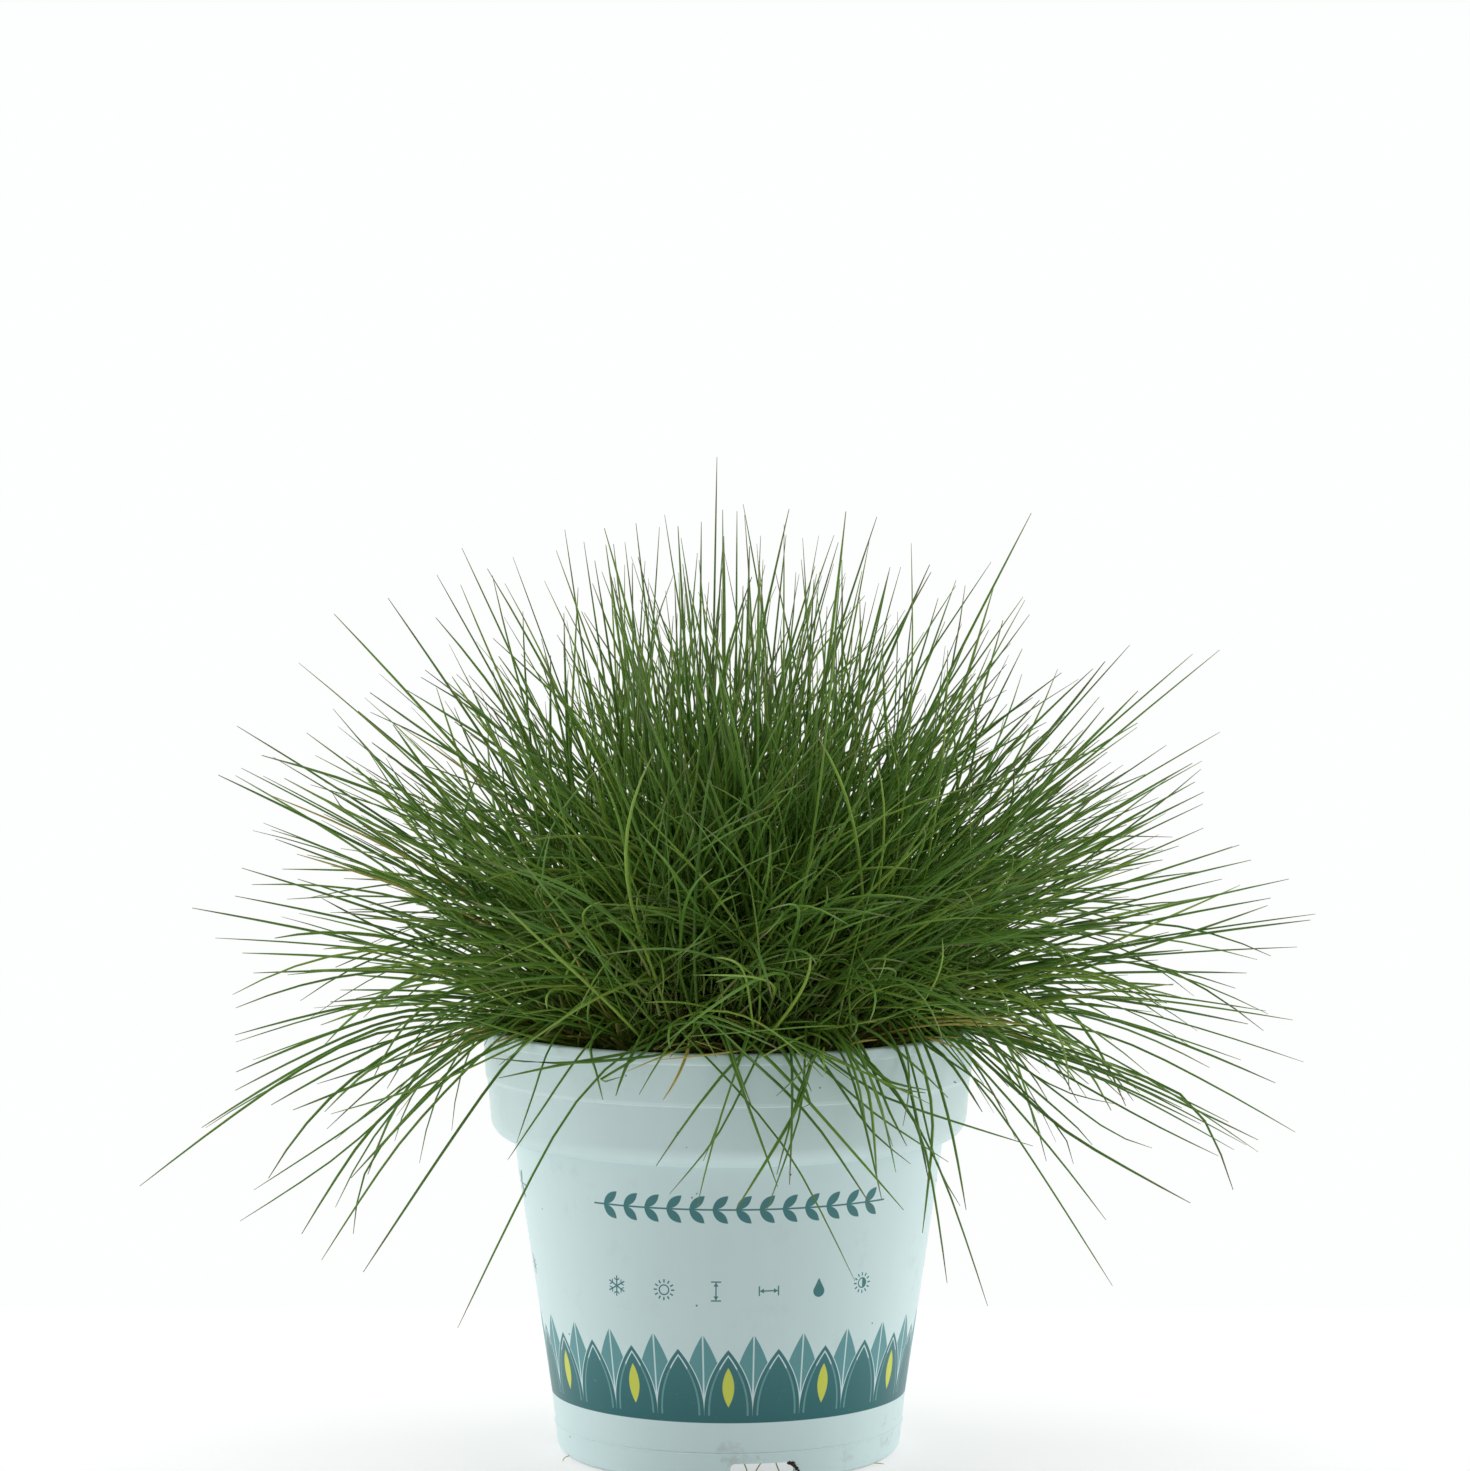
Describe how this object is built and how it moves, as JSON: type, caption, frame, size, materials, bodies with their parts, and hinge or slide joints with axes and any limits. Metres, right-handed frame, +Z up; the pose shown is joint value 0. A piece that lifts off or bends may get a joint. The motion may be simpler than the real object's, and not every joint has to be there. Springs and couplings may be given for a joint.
{
  "type": "potted fescue",
  "caption": "Domed tussock of stiff green needle leaves growing in a round, collared plastic nursery pot filled with dark potting soil.",
  "frame": {"origin": "on the floor, under the middle of the pot", "axes": "+Z up the pot's axis, -Y out of the pot's printed front, +X to the right as seen from the front"},
  "size_m": [0.314, 0.308, 0.2639],
  "materials": {
    "pot_plastic": "satin",
    "potting_soil": "matte",
    "shoot_bases": "matte",
    "leaves": "satin"
  },
  "bodies": {
    "root": {"pot": "pot_plastic", "soil": "potting_soil", "crown": "shoot_bases", "leaf_tuft_01": "leaves", "leaf_tuft_02": "leaves", "leaf_tuft_03": "leaves", "leaf_tuft_04": "leaves", "leaf_tuft_05": "leaves", "leaf_tuft_06": "leaves", "leaf_tuft_07": "leaves", "leaf_tuft_08": "leaves", "leaf_tuft_09": "leaves", "leaf_tuft_10": "leaves", "leaf_tuft_11": "leaves", "leaf_tuft_12": "leaves", "leaf_tuft_13": "leaves", "leaf_tuft_14": "leaves", "leaf_tuft_15": "leaves", "leaf_tuft_16": "leaves", "leaf_tuft_17": "leaves", "leaf_tuft_18": "leaves", "leaf_tuft_19": "leaves", "leaf_tuft_20": "leaves", "leaf_tuft_21": "leaves", "leaf_tuft_22": "leaves", "leaf_tuft_23": "leaves", "leaf_tuft_24": "leaves", "leaf_tuft_25": "leaves", "leaf_tuft_26": "leaves", "leaf_tuft_27": "leaves", "leaf_tuft_28": "leaves", "leaf_tuft_29": "leaves", "leaf_tuft_30": "leaves", "leaf_tuft_31": "leaves", "leaf_tuft_32": "leaves", "leaf_tuft_33": "leaves", "leaf_tuft_34": "leaves", "leaf_tuft_35": "leaves", "leaf_tuft_36": "leaves", "leaf_tuft_37": "leaves", "leaf_tuft_38": "leaves", "leaf_tuft_39": "leaves", "leaf_tuft_40": "leaves", "leaf_tuft_41": "leaves", "leaf_tuft_42": "leaves", "leaf_tuft_43": "leaves", "leaf_tuft_44": "leaves", "leaf_tuft_45": "leaves", "leaf_tuft_46": "leaves", "leaf_tuft_47": "leaves", "leaf_tuft_48": "leaves", "leaf_tuft_49": "leaves", "leaf_tuft_50": "leaves"}
  },
  "joints": []
}
